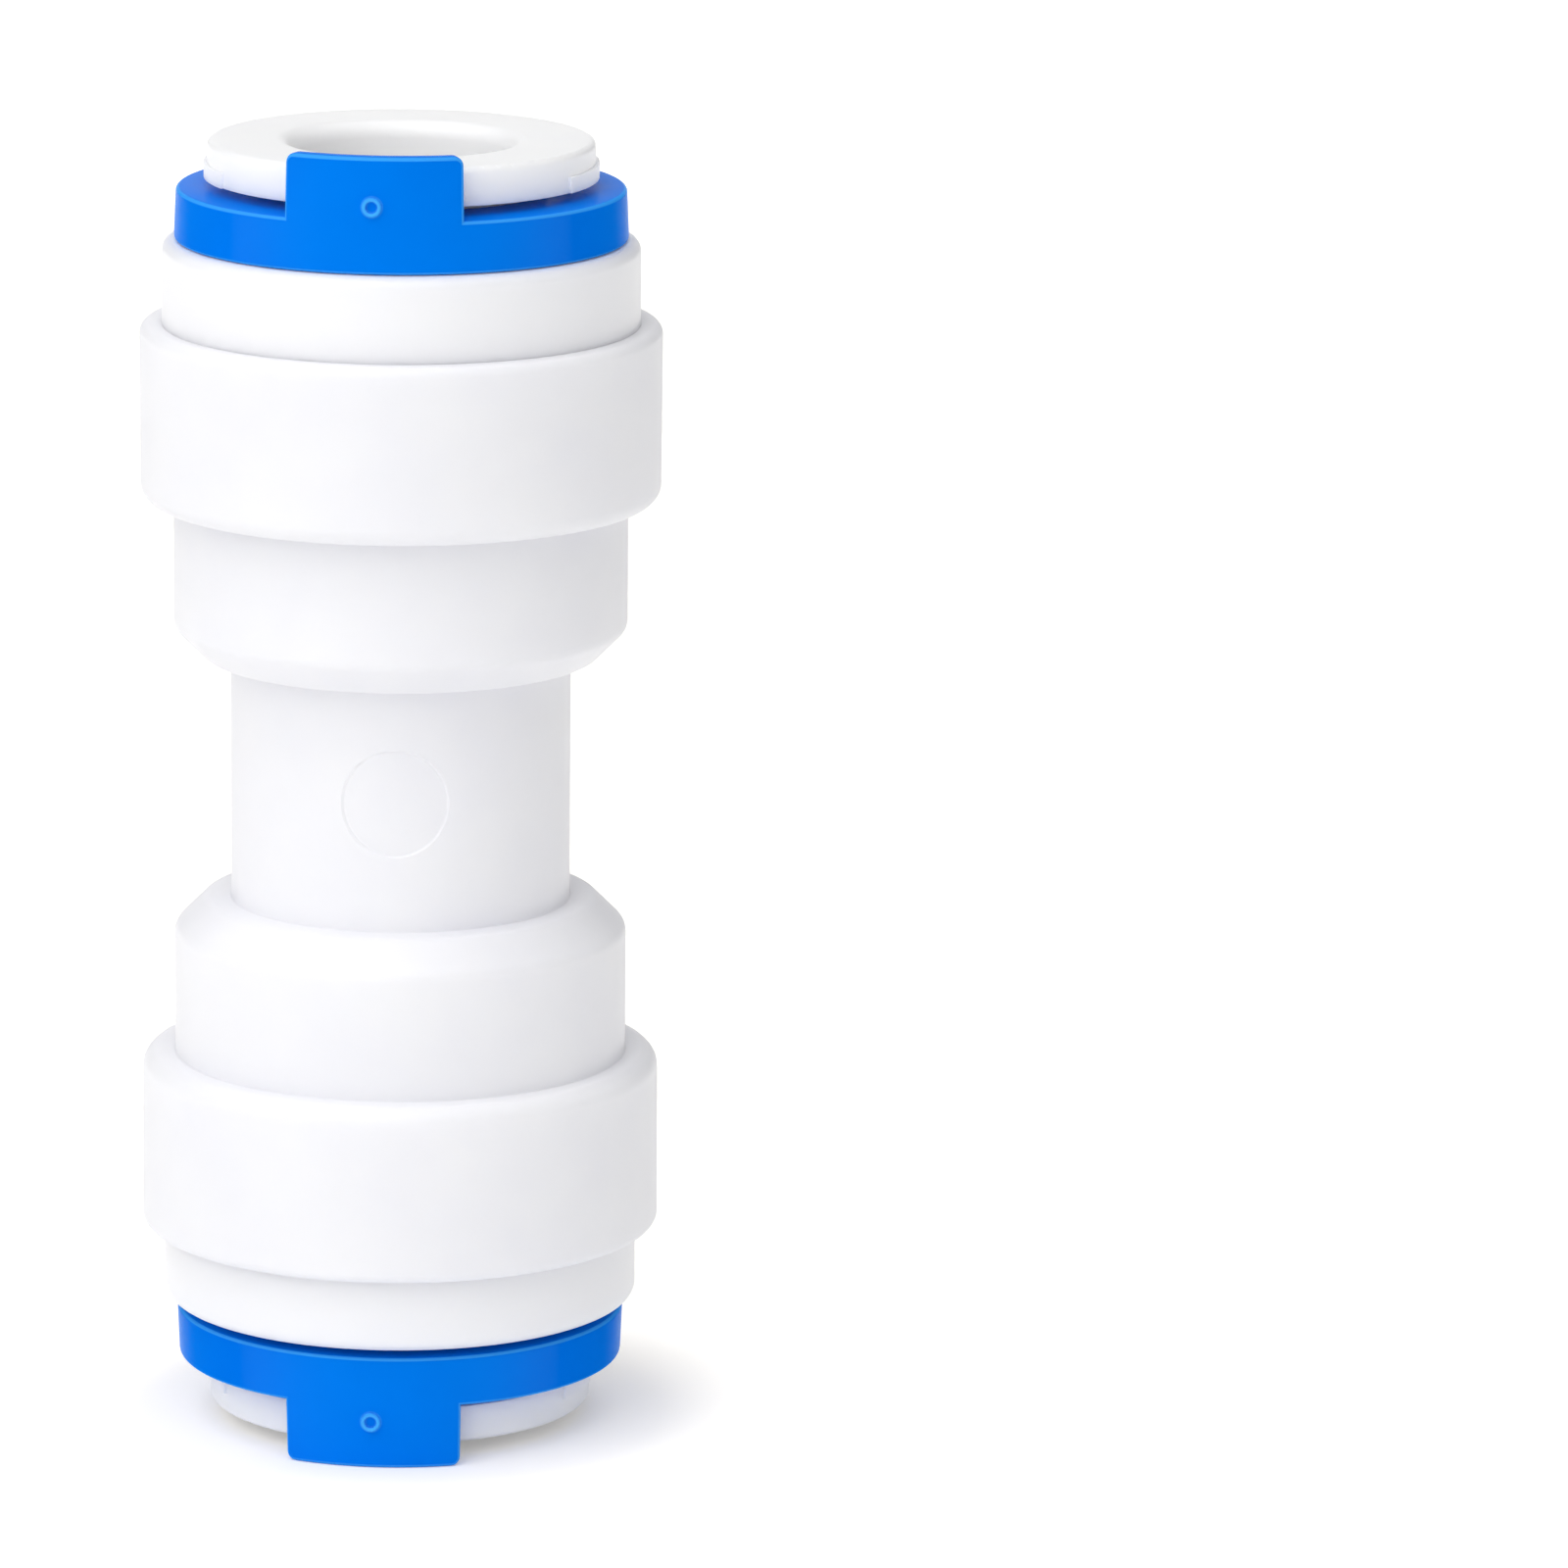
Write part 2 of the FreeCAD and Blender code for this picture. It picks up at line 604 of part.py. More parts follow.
def level_edges(feature, height, straight=False):
    """The names of the edges that lie at one height, or of the straight ones only."""
    level = number(height)
    names = []
    for index, edge in enumerate(feature.Shape.Edges, start=1):
        box = edge.BoundBox
        at_height = abs(box.ZMin - level) < NEAR and abs(box.ZMax - level) < NEAR
        if at_height and (isinstance(edge.Curve, Part.Line) or not straight):
            names.append(f"Edge{index}")
    return names


def arm_tips(feature):
    """The upright edges where the slot's walls leave the clip's rim."""
    wide = number(ARM_SLOT)
    names = []
    for index, edge in enumerate(feature.Shape.Edges, start=1):
        ends = [vertex.Point for vertex in edge.Vertexes]
        on_wall = len(ends) == 2 and all(abs(abs(point.x) - wide) < NEAR for point in ends)
        if on_wall and ends[0].y > NEAR and abs(ends[0].z - ends[1].z) > NEAR:
            names.append(f"Edge{index}")
    return names


def add_pip(body, height):
    """The ring-shaped pip on the tab's front, from inside the tab outwards."""
    face = clip_side(height)
    sketch = new_sketch(body, "pip_outline", "XZ_Plane", offset=less(face, half("TabThickness")))
    draw_circle(sketch, half("PipDia"), "0", height)
    draw_circle(sketch, half("PipHole"), "0", height)
    pip = body.newObject("PartDesign::Pad", "pip")
    pip.Profile = sketch
    pip.setExpression("Length", total(half("TabThickness"), "PipProud"))
    finish_feature(body, pip)
    if body.Shape.BoundBox.YMin > -number(total(face, half("PipProud"))):
        raise RuntimeError("the pip points inwards")


def build_o_ring(mouth):
    """The rubber O-ring, free in its gland."""
    ring = doc.addObject("Part::Torus", f"{mouth}_o_ring")
    ring.Label = f"{mouth}_o_ring"
    ring.setExpression("Radius1", total(SEAL_BORE, half("SealSection")))
    ring.setExpression("Radius2", half("SealSection"))
    side = "+" if mouth == "upper" else "-"
    middle = half(total(GLAND_LOW, GLAND_END))
    ring.setExpression("Placement.Base.z", f"{TAB_END} {side} {middle}")
    return ring


def build_spacer(mouth):
    """The ring that backs the O-ring, held in the body by the cap's spigot."""
    body = new_body(f"{mouth}_spacer")
    bore = total(PIPE_BORE, half("SpacerBoreFit"))
    section = new_sketch(body, "spacer_section", "XZ_Plane")
    draw_polygon(section, [
        (bore, SPACER_LOW),
        (SPACER, SPACER_LOW),
        (SPACER, SPACER_END),
        (bore, SPACER_END),
    ])
    feature = turned(body, "spacer_turned", section)
    edges = rims(feature, bore, SPACER_LOW) + rims(feature, bore, SPACER_END)
    dressed(body, "Chamfer", "spacer_chamfers", feature, edges, "SpacerChamfer")
    place_mouth_piece(body, mouth)
    return body


def build_all():
    pieces = [build_fitting_body()]
    for mouth in MOUTHS:
        pieces.append(build_cap(mouth))
        pieces.append(build_o_ring(mouth))
        pieces.append(build_spacer(mouth))
        pieces.append(build_collet(mouth))
        pieces.append(build_clip(mouth))
        pieces += [build_tooth(mouth, place) for place in range(LEGS)]
    return pieces


def check(pieces):
    """Stop if any object failed or any piece isn't one sound solid."""
    for item in doc.Objects:
        if {"Invalid", "Error"} & set(item.State):
            raise RuntimeError(f"{item.Label} failed: {item.State}")
    for piece in pieces:
        shape = piece.Shape
        if shape.isNull() or not shape.isValid() or len(shape.Solids) != 1:
            raise RuntimeError(f"{piece.Label} isn't one sound solid")


parts = build_all()
doc.recompute()
check(parts)
os.makedirs("parts", exist_ok=True)
for part in parts:
    part.Shape.exportStep(f"parts/{part.Label}.step")
    print(f"{part.Label}: {part.Shape.Volume:.2f} mm3")
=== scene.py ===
"""The looks of a push-in water line fitting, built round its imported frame.

The fitting stands on Z with its middle half way up, and the tabs of both clips face -Y. Sizes are
written in millimetres and heights outwards from the middle, as on the part's drawing, and both are
turned to metres where a mesh is made. The lower mouth is the upper one turned over about Y.
"""

import math

import bmesh
import bpy
from mathutils import Matrix, Vector


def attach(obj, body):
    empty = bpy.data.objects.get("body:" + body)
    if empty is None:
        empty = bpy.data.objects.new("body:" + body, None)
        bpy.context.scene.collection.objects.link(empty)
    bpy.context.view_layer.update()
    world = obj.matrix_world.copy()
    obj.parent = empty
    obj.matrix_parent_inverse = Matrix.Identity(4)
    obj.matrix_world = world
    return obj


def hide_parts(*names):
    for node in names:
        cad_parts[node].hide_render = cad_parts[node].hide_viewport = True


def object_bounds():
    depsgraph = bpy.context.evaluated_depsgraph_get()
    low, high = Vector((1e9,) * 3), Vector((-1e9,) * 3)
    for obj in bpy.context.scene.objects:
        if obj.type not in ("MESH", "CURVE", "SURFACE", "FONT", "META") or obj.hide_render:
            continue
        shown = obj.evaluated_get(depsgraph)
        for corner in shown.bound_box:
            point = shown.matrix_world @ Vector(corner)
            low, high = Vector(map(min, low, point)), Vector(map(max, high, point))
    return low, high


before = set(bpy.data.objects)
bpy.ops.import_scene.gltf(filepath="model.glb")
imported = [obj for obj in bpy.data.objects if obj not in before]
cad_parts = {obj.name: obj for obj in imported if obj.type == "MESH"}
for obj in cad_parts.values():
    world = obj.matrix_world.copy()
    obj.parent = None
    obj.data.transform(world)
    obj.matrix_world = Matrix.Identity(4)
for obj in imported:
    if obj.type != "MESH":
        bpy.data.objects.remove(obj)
cad_low, cad_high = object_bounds()

MM = 0.001
MIDDLE = (cad_low.z + cad_high.z) / 2
MOUTHS = ("upper", "lower")
LEGS = 4

# The turned outlines: radii from the axis, and heights outwards from the middle
WAIST = 5.1
SHOULDER = 3.7
BARREL = 6.8
BARREL_END = 8.45
BARREL_CHAMFER = 0.93
SHOULDER_ROUND = 0.42
BARREL_ROUND = 0.44
COLLAR = 7.8
COLLAR_LOW_SIDE = 7.777
COLLAR_END = 13.8
COLLAR_INNER_ROUND = 0.53
COLLAR_OUTER_ROUND = 0.3
PIPE_BORE = 3.25
PIPE_STOP = 2.0
WATERWAY = 2.2
GLAND = 4.9
GLAND_LOW = 5.3
GLAND_END = 7.4
BORE_CHAMFER = 0.2
SEAL_SECTION = 1.85
SEAL_MIDDLE = 3.925
SEAL_ROUND = 0.999             # of its half width, so that its round corners never quite meet
SPACER = 5.6
SPACER_BORE = 3.35
SPACER_END = 8.52
SPACER_CHAMFER = 0.15
SEAT_FIT = 0.02
SPIGOT = 6.18
CAVITY = 5.15
CONE_LOW = 12.171
CONE_HIGH = 13.779
CAP_BORE = 4.4
NECK = 7.135
NECK_END = 16.08
UPPER_NECK_EXTRA = 0.26        # the upper cap stands out this much more, up to its clip
NECK_ROUND = 0.37
CAP_MOUTH_CHAMFER = 0.2
FINE_EDGE = 0.05               # a mould's usual edge where the drawing gives none

# The round mark of the mould on the waist
MARK_RADIUS = 1.63
MARK_DEPTH = 0.06
MARK_HEIGHT = 0.2
MARK_TURN = 5.5                # degrees from -Y towards +X
MARK_TOOL_PROUD = 0.1          # how far the tool that cuts it stands out of the waist
MARK_TOOL_RINGS = (0.02, 0.2, 0.4, 0.6, 0.8, 1.0)    # as shares of the mark's radius

# The blue clip: a band with a slot open at the back, an upright tab and a ring-shaped pip
CLIP_LOW = 16.36
CLIP_HIGH = 17.9
CLIP_SIDE = 6.7                # its rim at the height of CLIP_HIGH
CLIP_DRAFT = 2.5               # degrees, narrower outwards
CLIP_EDGE = 0.12
ARM_SLOT = 4.42
ARM_TIP_ROUND = 0.5
TAB_INSIDE = 6.04
TAB_END = 19.8
TAB_HALF = 23.5                # degrees to each side
TAB_CORNER = 0.28
TAB_EDGE = 0.14
PIP_HEIGHT = 18.35
PIP_RADIUS = 0.3
PIP_HOLE = 0.17
PIP_PROUD = 0.12
PIP_EDGE = 0.06

TURNED_SEGMENTS = 256
PIP_SEGMENTS = 48
MARK_SEGMENTS = 144
SMOOTH_ANGLE = 35.0            # degrees; a sharper turn between faces stays a sharp edge
ARC_STEP = 9.0                 # degrees of a rounded corner to one facet
QUARTER_STEPS = 5              # facets of an edge's round
FRONT_STEPS = 100              # facets of half the clip's rim
TAB_STEPS = 18                 # facets of half the tab's end
CONE_MISS = 0.001              # the clip's corners this near its cone take the cone's shading
CONE_TURN = 12.0               # degrees between a corner's shading and the cone's, at most
JOIN_DISTANCE = 0.00001        # corners of the frame's own meshes this near are one
FLAT_TURN = 0.2                # degrees; faces that turn by less are one flat face
ROUNDED_TURN = 40.0            # degrees; an edge that turns by more gets a fine round
COLLET_EDGE = 0.04
TOOTH_EDGE = 0.02
EDGE_FACETS = 3


# Meshes

def new_object(name, mesh):
    thing = bpy.data.objects.new(name, mesh)
    bpy.context.scene.collection.objects.link(thing)
    return thing


def new_mesh(name, points, edges=(), faces=()):
    mesh = bpy.data.meshes.new(name)
    mesh.from_pydata([Vector(point) for point in points], edges, faces)
    mesh.update()
    return mesh


def made_plain(thing):
    """Turn what an object's modifiers make into its own mesh, and take them off."""
    evaluated = thing.evaluated_get(bpy.context.evaluated_depsgraph_get())
    mesh = bpy.data.meshes.new_from_object(evaluated)
    mesh.name = thing.name
    thing.modifiers.clear()
    thing.data = mesh
    return thing


def add_modifier(thing, kind, **settings):
    modifier = thing.modifiers.new(kind.lower(), kind)
    for name, value in settings.items():
        setattr(modifier, name, value)
    return modifier


def smooth_by_angle(mesh):
    """Shade smooth, apart from the sharp edges."""
    mesh.shade_smooth()
    mesh.set_sharp_from_angle(angle=math.radians(SMOOTH_ANGLE))


def rounded(corners):
    """An outline's points, where each corner is a radius, a height and how much it is rounded."""
    points = []
    count = len(corners)
    for i, (radius, height, amount) in enumerate(corners):
        corner = Vector((radius, height))
        back = (Vector(corners[i - 1][:2]) - corner).normalized()
        ahead = (Vector(corners[(i + 1) % count][:2]) - corner).normalized()
        if not amount:
            points.append(corner)
            continue
        opening = back.angle(ahead)
        reach = amount / math.tan(opening / 2)
        centre = corner + (back + ahead).normalized() * (amount / math.sin(opening / 2))
        start = corner + back * reach - centre
        turn = math.pi - opening
        if back.cross(ahead) > 0:
            turn = -turn
        steps = max(2, math.ceil(abs(math.degrees(turn)) / ARC_STEP))
        for step in range(steps + 1):
            spoke = start.copy()
            spoke.rotate(Matrix.Rotation(turn * step / steps, 2))
            points.append(centre + spoke)
    return points


# Node trees

def add_node(tree, kind, inputs=None, **settings):
    """Add one node with its settings, and give each named input a value or a link."""
    node = tree.nodes.new(kind)
    for name, value in settings.items():
        setattr(node, name, value)
    for name, value in (inputs or {}).items():
        if isinstance(value, bpy.types.NodeSocket):
            tree.links.new(value, node.inputs[name])
        else:
            node.inputs[name].default_value = value
    return node


def new_tree(name, **inputs):
    """A geometry tree with its own geometry in and out, and named inputs of given kinds."""
    tree = bpy.data.node_groups.new(name, "GeometryNodeTree")
    tree.interface.new_socket("Geometry", in_out="INPUT", socket_type="NodeSocketGeometry")
    for label, kind in inputs.items():
        tree.interface.new_socket(label, in_out="INPUT", socket_type=kind)
    tree.interface.new_socket("Geometry", in_out="OUTPUT", socket_type="NodeSocketGeometry")
    return tree, add_node(tree, "NodeGroupInput").outputs


def run_tree(thing, tree, **values):
    """Put a geometry tree on an object with its inputs set, and keep only what it makes."""
    modifier = add_modifier(thing, "NODES", node_group=tree)
    for item in tree.interface.items_tree:
        if item.in_out == "INPUT" and item.name in values:
            modifier[item.identifier] = values[item.name]
    return made_plain(thing)


def turned_tree():
    """Turn an outline of edges round Z into a closed, smooth-shaded ring."""
    tree, given = new_tree(
        "turned", Segments="NodeSocketInt", Reach="NodeSocketFloat",
        Corner="NodeSocketFloat", Finish="NodeSocketMaterial",
    )
    outline = add_node(tree, "GeometryNodeMeshToCurve", {"Mesh": given["Geometry"]})
    path = add_node(tree, "GeometryNodeCurvePrimitiveCircle", {
        "Resolution": given["Segments"], "Radius": given["Reach"],
    })
    ring = add_node(tree, "GeometryNodeCurveToMesh", {
        "Curve": path.outputs["Curve"], "Profile Curve": outline.outputs["Curve"],
    })
    angle = add_node(tree, "GeometryNodeInputMeshEdgeAngle")
    gentle = add_node(tree, "FunctionNodeCompare", {
        0: angle.outputs["Unsigned Angle"], 1: given["Corner"],
    }, data_type="FLOAT", operation="LESS_THAN")
    faces = add_node(tree, "GeometryNodeSetShadeSmooth", {
        "Geometry": ring.outputs["Mesh"], "Shade Smooth": True,
    }, domain="FACE")
    edges = add_node(tree, "GeometryNodeSetShadeSmooth", {
        "Geometry": faces.outputs["Geometry"], "Shade Smooth": gentle.outputs["Result"],
    }, domain="EDGE")
    real = add_node(tree, "GeometryNodeRealizeInstances", {"Geometry": edges.outputs["Geometry"]})
    finished = add_node(tree, "GeometryNodeSetMaterial", {
        "Geometry": real.outputs["Geometry"], "Material": given["Finish"],
    })
    add_node(tree, "NodeGroupOutput", {"Geometry": finished.outputs["Geometry"]})
    return tree


def repeated_tree():
    """Repeat a piece evenly round Z."""
    tree, given = new_tree("repeated", Count="NodeSocketInt", Finish="NodeSocketMaterial")
    places = add_node(tree, "GeometryNodePoints", {"Count": given["Count"]})
    index = add_node(tree, "GeometryNodeInputIndex")
    share = add_node(tree, "ShaderNodeMath", {
        0: index.outputs["Index"], 1: given["Count"],
    }, operation="DIVIDE")
    angle = add_node(tree, "ShaderNodeMath", {
        0: share.outputs["Value"], 1: math.tau,
    }, operation="MULTIPLY")
    turn = add_node(tree, "ShaderNodeCombineXYZ", {"Z": angle.outputs["Value"]})
    copies = add_node(tree, "GeometryNodeInstanceOnPoints", {
        "Points": places.outputs["Points"], "Instance": given["Geometry"],
        "Rotation": turn.outputs["Vector"],
    })
    real = add_node(tree, "GeometryNodeRealizeInstances", {"Geometry": copies.outputs["Instances"]})
    finished = add_node(tree, "GeometryNodeSetMaterial", {
        "Geometry": real.outputs["Geometry"], "Material": given["Finish"],
    })
    add_node(tree, "NodeGroupOutput", {"Geometry": finished.outputs["Geometry"]})
    return tree


# Finishes

CLOUD_SIZE = 3.0               # millimetres across a faint cloud of colour in the plastic
GLOSS_SIZE = 1.2               # and across a patch of one gloss
ROUGHNESS_SPREAD = 0.03
GRAIN_SIZE = 0.3               # a mould's real grain is too fine to show, so it is drawn this coarse
RUBBER_GRAIN_SIZE = 0.12
TUMBLED_SIZE = 0.08            # millimetres across a dull or a bright spot of the tumbled steel
TUMBLED_BRIGHT = 0.22
TUMBLED_DULL = 0.34
NOISE_LOW = 0.3                # nearly all of a noise texture lies between these two
NOISE_HIGH = 0.7

# The clip's gloss, by how far its surface turns from the eye: 0 faces it, and 1 is edge on
GLOSS_FACING = 0.5
GLOSS_TURNED = 0.001
GLOSS_GLANCING = 0.008
FACING_TO = 0.1
TURNED_FROM = 0.35
TURNED_TO = 0.65
GLANCING_FROM = 0.85

# The clip's painted highlights: its edge rounds and the pip's rim are painted a paler blue, for the
# light that they catch.
# How squarely a face points away from the axis is 0 on the faces across the rim and 1 on the rim
# and the tab's face, and an edge's round runs from one to the other
EDGE_HIGHLIGHT_PAINT = 0.55
ACROSS_TO = 0.1
HIGHLIGHT_FROM = 0.4
HIGHLIGHT_TO = 0.9
RIM_FROM = 0.985
# The pip's rim is painted paler all round: a painted highlight, for the light that its round catches
PIP_HIGHLIGHT_PAINT = 0.8
PIP_HIGHLIGHT_REACH = 0.03          # millimetres from the middle of its rim
PIP_FADED_REACH = 0.12


def linear(hex_code):
    """An sRGB hex colour as linear red, green, blue and alpha."""
    parts = [int(hex_code[i:i + 2], 16) / 255 for i in (1, 3, 5)]
    parts = [part / 12.92 if part <= 0.04045 else ((part + 0.055) / 1.055) ** 2.4 for part in parts]
    return (*parts, 1.0)


def new_finish(name, **sockets):
    """A material with one Principled shader, its fixed sockets set by name."""
    material = bpy.data.materials.new(name)
    material.use_nodes = True
    tree = material.node_tree
    shader = tree.nodes["Principled BSDF"]
    for label, value in sockets.items():
        shader.inputs[label.replace("_", " ")].default_value = value
    return material, tree, shader


def speckle(tree, size, detail):
    """Noise on the piece's own place, whose features are about a size across."""
    place = add_node(tree, "ShaderNodeTexCoord")
    return add_node(tree, "ShaderNodeTexNoise", {
        "Vector": place.outputs["Object"], "Scale": 1 / (size * MM), "Detail": detail,
    }).outputs["Fac"]


def patches(tree, size, detail, low, high):
    """A value that wanders between a low and a high one, in patches of about a size."""
    return add_node(tree, "ShaderNodeMapRange", {
        "Value": speckle(tree, size, detail), "From Min": NOISE_LOW, "From Max": NOISE_HIGH,
        "To Min": low, "To Max": high,
    }).outputs["Result"]


def moulded(name, hex_even, hex_odd, roughness, relief, grain=GRAIN_SIZE, **sockets):
    """Injection moulded plastic: a faint cloud of colour, uneven gloss and the mould's fine grain."""
    material, tree, shader = new_finish(name, **sockets)
    tint = add_node(tree, "ShaderNodeMix", {
        "Factor": patches(tree, CLOUD_SIZE, detail=2.0, low=0.0, high=1.0),
        "A": linear(hex_even), "B": linear(hex_odd),
    }, data_type="RGBA")
    tree.links.new(tint.outputs["Result"], shader.inputs["Base Color"])
    uneven = patches(
        tree, GLOSS_SIZE, detail=4.0,
        low=roughness - ROUGHNESS_SPREAD, high=roughness + ROUGHNESS_SPREAD,
    )
    tree.links.new(uneven, shader.inputs["Roughness"])
    bumps = add_node(tree, "ShaderNodeBump", {
        "Height": speckle(tree, grain, detail=3.0), "Distance": relief * MM, "Strength": 1.0,
    })
    tree.links.new(bumps.outputs["Normal"], shader.inputs["Normal"])
    return material


def acetal_finish(name, hex_even, hex_odd, roughness):
    """White acetal copolymer, injection moulded: milky, satin, and a little see-through at edges."""
    return moulded(
        name, hex_even, hex_odd, roughness, relief=0.0008, IOR=1.48,
        Subsurface_Weight=0.5, Subsurface_Radius=(1.0, 0.97, 0.95), Subsurface_Scale=1.2 * MM,
    )


def spacer_finish():
    """Natural acetal, unpigmented: slightly warm and matt."""
    return moulded(
        "moulded_acetal_natural", "#E9E6DF", "#E2DFD6", roughness=0.5, relief=0.002, IOR=1.48,
    )


def clip_gloss(tree):
    """Gloss that fades where the surface turns from the eye and comes back at a glance.

    Between, it would pale a blue that is too strong for that.
    """
    turned = add_node(tree, "ShaderNodeLayerWeight", {"Blend": 0.5}).outputs["Facing"]
    facing = add_node(tree, "ShaderNodeMapRange", {
        "Value": turned, "From Min": FACING_TO, "From Max": TURNED_FROM,
        "To Min": GLOSS_FACING, "To Max": GLOSS_TURNED,
    })
    glancing = add_node(tree, "ShaderNodeMapRange", {
        "Value": turned, "From Min": TURNED_TO, "From Max": GLANCING_FROM,
        "To Min": GLOSS_TURNED, "To Max": GLOSS_GLANCING,
    })
    return add_node(tree, "ShaderNodeMath", {
        0: facing.outputs["Result"], 1: glancing.outputs["Result"],
    }, operation="MAXIMUM").outputs["Value"]


def painted_edge_highlights(tree, place, normal):
    """How far the clip's edge rounds are painted paler: a painted highlight, for the light that they
    catch.
    """
    sideways = add_node(tree, "ShaderNodeVectorMath", {0: place, 1: (1, 1, 0)}, operation="MULTIPLY")
    outwards = add_node(tree, "ShaderNodeVectorMath", {
        0: sideways.outputs["Vector"],
    }, operation="NORMALIZE")
    squarely = add_node(tree, "ShaderNodeVectorMath", {
        0: normal, 1: outwards.outputs["Vector"],
    }, operation="DOT_PRODUCT").outputs["Value"]
    off_rim = add_node(tree, "ShaderNodeMapRange", {
        "Value": squarely, "From Min": RIM_FROM, "From Max": HIGHLIGHT_TO, "To Max": EDGE_HIGHLIGHT_PAINT,
    })
    off_sides = add_node(tree, "ShaderNodeMapRange", {
        "Value": squarely, "From Min": ACROSS_TO, "From Max": HIGHLIGHT_FROM,
    })
    return add_node(tree, "ShaderNodeMath", {
        0: off_rim.outputs["Result"], 1: off_sides.outputs["Result"],
    }, operation="MULTIPLY").outputs["Value"]


def painted_pip_highlight(tree, place):
    """How far the pip's rim is painted paler: a painted highlight, for the light that its round
    catches. One pattern serves both clips.
    """
    centred = add_node(tree, "ShaderNodeVectorMath", {
        0: place, 1: (0, 0, MIDDLE),
    }, operation="SUBTRACT")
    folded = add_node(tree, "ShaderNodeVectorMath", {
        0: centred.outputs["Vector"],
    }, operation="ABSOLUTE")
    reach = add_node(tree, "ShaderNodeVectorMath", {
        0: folded.outputs["Vector"], 1: (0, clip_side(PIP_HEIGHT) * MM, PIP_HEIGHT * MM),
    }, operation="DISTANCE")
    offset = add_node(tree, "ShaderNodeMath", {
        0: reach.outputs["Value"], 1: (PIP_HOLE + PIP_RADIUS) / 2 * MM,
    }, operation="SUBTRACT")
    apart = add_node(tree, "ShaderNodeMath", {0: offset.outputs["Value"]}, operation="ABSOLUTE")
    return add_node(tree, "ShaderNodeMapRange", {
        "Value": apart.outputs["Value"], "From Min": PIP_FADED_REACH * MM,
        "From Max": PIP_HIGHLIGHT_REACH * MM, "To Max": PIP_HIGHLIGHT_PAINT,
    }).outputs["Result"]


def clip_finish():
    """Blue polypropylene, injection moulded: strong azure, semi-gloss and waxy, with painted
    highlights on its edges and the pip's rim.
    """
    material = moulded(
        "moulded_polypropylene_blue", "#0075EA", "#0071E6", roughness=0.22, relief=0.0003, IOR=1.49,
        Specular_Tint=linear("#00C8FF"), Sheen_Weight=0.5, Sheen_Roughness=0.45,
        Sheen_Tint=linear("#0098FF"),
    )
    tree = material.node_tree
    shader = tree.nodes["Principled BSDF"]
    tree.links.new(clip_gloss(tree), shader.inputs["Specular IOR Level"])
    own = add_node(tree, "ShaderNodeTexCoord").outputs
    # The edge rounds and the pip's rim are painted a paler blue: painted highlights
    painted_highlights = add_node(tree, "ShaderNodeMath", {
        0: painted_pip_highlight(tree, own["Object"]), 1: painted_edge_highlights(tree, own["Object"], own["Normal"]),
    }, operation="MAXIMUM")
    # The pale blue of the painted highlights
    highlighted = add_node(tree, "ShaderNodeMix", {
        "Factor": painted_highlights.outputs["Value"], "A": shader.inputs["Base Color"].links[0].from_socket,
        "B": linear("#4CB4FC"),
    }, data_type="RGBA")
    tree.links.new(highlighted.outputs["Result"], shader.inputs["Base Color"])
    return material


def seal_finish():
    """Peroxide-cured EPDM, compression moulded and greased: near black, with a soft wet sheen."""
    return moulded(
        "greased_epdm_black", "#141415", "#1B1B1C", roughness=0.38, relief=0.002,
        grain=RUBBER_GRAIN_SIZE, IOR=1.5,
    )


def tooth_finish():
    """Stainless spring steel, stamped and tumbled: bright, with a finely uneven gloss."""
    material, tree, shader = new_finish(
        "stamped_stainless_steel", Metallic=1.0, Base_Color=linear("#C9CACC"),
    )
    uneven = patches(tree, TUMBLED_SIZE, detail=3.0, low=TUMBLED_BRIGHT, high=TUMBLED_DULL)
    tree.links.new(uneven, shader.inputs["Roughness"])
    return material


# Turned pieces

def turned_piece(name, corners, tree, finish, segments=TURNED_SEGMENTS):
    """A ring or tube from its outline, which runs anticlockwise: up the outside, down the inside."""
    reach = 1.0
    points = [((radius - reach) * MM, -height * MM, 0) for radius, height in rounded(corners)]
    points.reverse()
    edges = [(i, (i + 1) % len(points)) for i in range(len(points))]
    piece = new_object(name, new_mesh(name, points, edges))
    return run_tree(
        piece, tree, Segments=segments, Reach=reach * MM,
        Corner=math.radians(SMOOTH_ANGLE), Finish=finish,
    )


def set_in_place(piece, mouth="upper"):
    """Move a piece's mesh, drawn in heights from the middle, to its place at one of the mouths."""
    if mouth == "lower":
        piece.data.transform(Matrix.Rotation(math.pi, 4, "Y"))
    piece.data.transform(Matrix.Translation((0, 0, MIDDLE)))
    return piece


def body_outline():
    seat = SPACER + SEAT_FIT
    spigot_seat = SPACER_END + SEAT_FIT
    outside = [
        (WAIST, SHOULDER, FINE_EDGE),
        (BARREL - BARREL_CHAMFER, SHOULDER, SHOULDER_ROUND),
        (BARREL, SHOULDER + BARREL_CHAMFER, BARREL_ROUND),
        (BARREL, BARREL_END, FINE_EDGE),
        (COLLAR_LOW_SIDE, BARREL_END, COLLAR_INNER_ROUND),
        (COLLAR, COLLAR_END, COLLAR_OUTER_ROUND),
    ]
    inside = [
        (SPIGOT + SEAT_FIT, COLLAR_END, 0),
        (SPIGOT + SEAT_FIT, spigot_seat, 0),
        (seat, spigot_seat, 0),
        (seat, GLAND_END, 0),
        (GLAND, GLAND_END, FINE_EDGE),
        (GLAND, GLAND_LOW, FINE_EDGE),
        (PIPE_BORE + BORE_CHAMFER, GLAND_LOW, FINE_EDGE),
        (PIPE_BORE, GLAND_LOW - BORE_CHAMFER, FINE_EDGE),
        (PIPE_BORE, PIPE_STOP, FINE_EDGE),
        (WATERWAY, PIPE_STOP, FINE_EDGE),
    ]
    upper = outside + inside
    lower = [(radius, -height, amount) for radius, height, amount in reversed(upper)]
    return upper + lower


